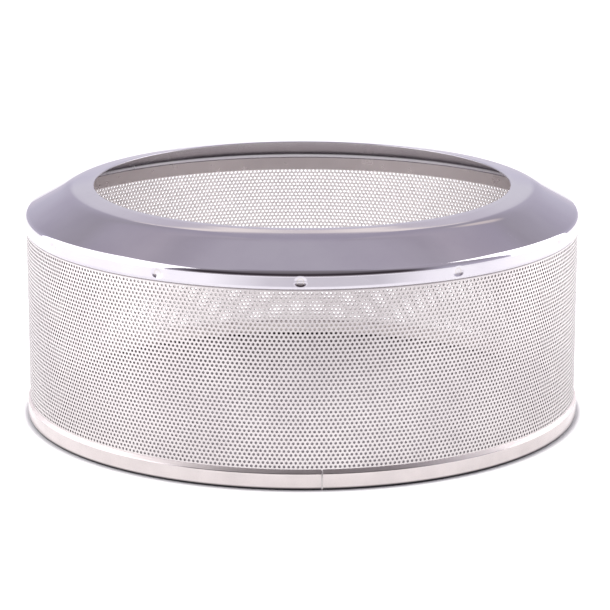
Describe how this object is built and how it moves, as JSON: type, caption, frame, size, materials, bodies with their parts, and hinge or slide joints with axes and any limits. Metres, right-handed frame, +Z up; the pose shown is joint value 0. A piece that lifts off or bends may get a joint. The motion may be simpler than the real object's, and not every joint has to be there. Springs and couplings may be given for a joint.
{
  "type": "cheese mold",
  "caption": "Round perforated cheese mould ring: micro-perforated drum wall, sloping collar with a wide opening, folded edging strip as its foot, open underneath.",
  "frame": {"origin": "centre of the foot, on the surface that the mould stands on", "axes": "+Z up along the drum's axis, -Y the front with the edging strip's seam just to its right, +X right"},
  "size_m": [0.3212, 0.3212, 0.1342],
  "materials": {
    "perforated_sheet": "2B cold rolled, perforated",
    "polished_collar": "polished stainless",
    "edging_strip": "bright annealed stainless strip",
    "spot_weld": "pressed and polished over",
    "weld": "planished and brushed"
  },
  "bodies": {
    "root": {"perforated_wall": "perforated_sheet", "wall_seam_weld": "weld", "collar": "polished_collar", "collar_spot_welds": "spot_weld", "base_ring": "edging_strip", "base_ring_seam_weld": "weld", "base_ring_spot_welds": "spot_weld"}
  },
  "joints": []
}
